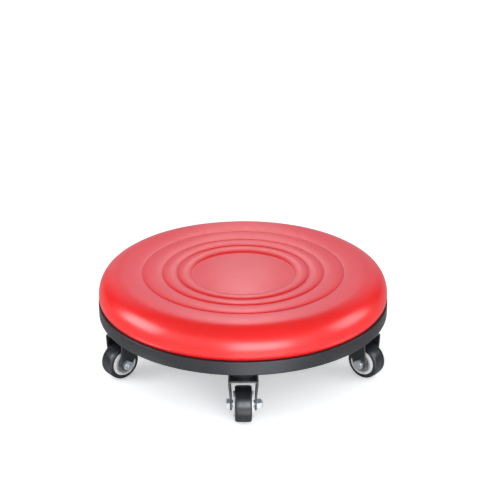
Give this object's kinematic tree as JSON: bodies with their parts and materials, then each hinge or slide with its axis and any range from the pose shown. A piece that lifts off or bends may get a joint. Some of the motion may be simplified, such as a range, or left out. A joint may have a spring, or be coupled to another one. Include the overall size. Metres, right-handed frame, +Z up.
{
  "type": "low roller seat",
  "caption": "Low round roller seat: a padded cushion with pressed rings on a flat base disc that stands on swivel casters, for sitting and working near the floor.",
  "frame": {"origin": "on the floor under the middle of the seat", "axes": "+Z up along the seat's axis, -Y towards the front caster in the picture, +X to the right of the picture"},
  "size_m": [0.33, 0.334, 0.11],
  "materials": {
    "red_leatherette": "satin",
    "foam": "matte",
    "plywood": "matte",
    "black_board": "satin",
    "black_edge": "satin",
    "plated_steel": "satin",
    "polished_steel": "polished",
    "painted_plate": "satin",
    "black_steel": "satin",
    "white_plastic": "satin",
    "black_tread": "satin"
  },
  "bodies": {
    "base": {"seat_cover": "red_leatherette", "seat_foam": "foam", "seat_board": "plywood", "cover_staples": "plated_steel", "base_board": "black_board", "edge_band": "black_edge", "seat_screws": "plated_steel", "plate_screws": "plated_steel", "caster_1_plate": "painted_plate", "caster_1_kingpin": "plated_steel", "caster_1_balls": "polished_steel", "caster_2_plate": "painted_plate", "caster_2_kingpin": "plated_steel", "caster_2_balls": "polished_steel", "caster_3_plate": "painted_plate", "caster_3_kingpin": "plated_steel", "caster_3_balls": "polished_steel", "caster_4_plate": "painted_plate", "caster_4_kingpin": "plated_steel", "caster_4_balls": "polished_steel", "caster_5_plate": "painted_plate", "caster_5_kingpin": "plated_steel", "caster_5_balls": "polished_steel"},
    "swivel_1": {"caster_1_fork": "black_steel", "caster_1_axle_sleeve": "plated_steel", "caster_1_axle_bolt": "plated_steel", "caster_1_axle_nut": "plated_steel"},
    "wheel_1": {"caster_1_hub": "white_plastic", "caster_1_tyre": "black_tread", "caster_1_bearings": "polished_steel"},
    "swivel_2": {"caster_2_fork": "black_steel", "caster_2_axle_sleeve": "plated_steel", "caster_2_axle_bolt": "plated_steel", "caster_2_axle_nut": "plated_steel"},
    "wheel_2": {"caster_2_hub": "white_plastic", "caster_2_tyre": "black_tread", "caster_2_bearings": "polished_steel"},
    "swivel_3": {"caster_3_fork": "black_steel", "caster_3_axle_sleeve": "plated_steel", "caster_3_axle_bolt": "plated_steel", "caster_3_axle_nut": "plated_steel"},
    "wheel_3": {"caster_3_hub": "white_plastic", "caster_3_tyre": "black_tread", "caster_3_bearings": "polished_steel"},
    "swivel_4": {"caster_4_fork": "black_steel", "caster_4_axle_sleeve": "plated_steel", "caster_4_axle_bolt": "plated_steel", "caster_4_axle_nut": "plated_steel"},
    "wheel_4": {"caster_4_hub": "white_plastic", "caster_4_tyre": "black_tread", "caster_4_bearings": "polished_steel"},
    "swivel_5": {"caster_5_fork": "black_steel", "caster_5_axle_sleeve": "plated_steel", "caster_5_axle_bolt": "plated_steel", "caster_5_axle_nut": "plated_steel"},
    "wheel_5": {"caster_5_hub": "white_plastic", "caster_5_tyre": "black_tread", "caster_5_bearings": "polished_steel"}
  },
  "joints": [
    {"name": "caster_1_swivel", "type": "hinge", "parent": "base", "child": "swivel_1", "pos_m": [0, -0.1315, 0.047], "axis": [0, 0, 1], "continuous": true},
    {"name": "caster_1_roll", "type": "hinge", "parent": "swivel_1", "child": "wheel_1", "pos_m": [0, -0.1495, 0.0195], "axis": [1, 0, 0], "continuous": true},
    {"name": "caster_2_swivel", "type": "hinge", "parent": "base", "child": "swivel_2", "pos_m": [0.12506, -0.04064, 0.047], "axis": [0, 0, 1], "continuous": true},
    {"name": "caster_2_roll", "type": "hinge", "parent": "swivel_2", "child": "wheel_2", "pos_m": [0.13893, -0.05211, 0.0195], "axis": [0.6374, 0.7705, 0], "continuous": true},
    {"name": "caster_3_swivel", "type": "hinge", "parent": "base", "child": "swivel_3", "pos_m": [0.07729, 0.10639, 0.047], "axis": [0, 0, 1], "continuous": true},
    {"name": "caster_3_roll", "type": "hinge", "parent": "swivel_3", "child": "wheel_3", "pos_m": [0.08787, 0.12095, 0.0195], "axis": [-0.809, 0.5878, 0], "continuous": true},
    {"name": "caster_4_swivel", "type": "hinge", "parent": "base", "child": "swivel_4", "pos_m": [-0.07729, 0.10639, 0.047], "axis": [0, 0, 1], "continuous": true},
    {"name": "caster_4_roll", "type": "hinge", "parent": "swivel_4", "child": "wheel_4", "pos_m": [-0.08787, 0.12095, 0.0195], "axis": [-0.809, -0.5878, 0], "continuous": true},
    {"name": "caster_5_swivel", "type": "hinge", "parent": "base", "child": "swivel_5", "pos_m": [-0.12506, -0.04064, 0.047], "axis": [0, 0, 1], "continuous": true},
    {"name": "caster_5_roll", "type": "hinge", "parent": "swivel_5", "child": "wheel_5", "pos_m": [-0.13893, -0.05211, 0.0195], "axis": [0.6374, -0.7705, 0], "continuous": true}
  ]
}
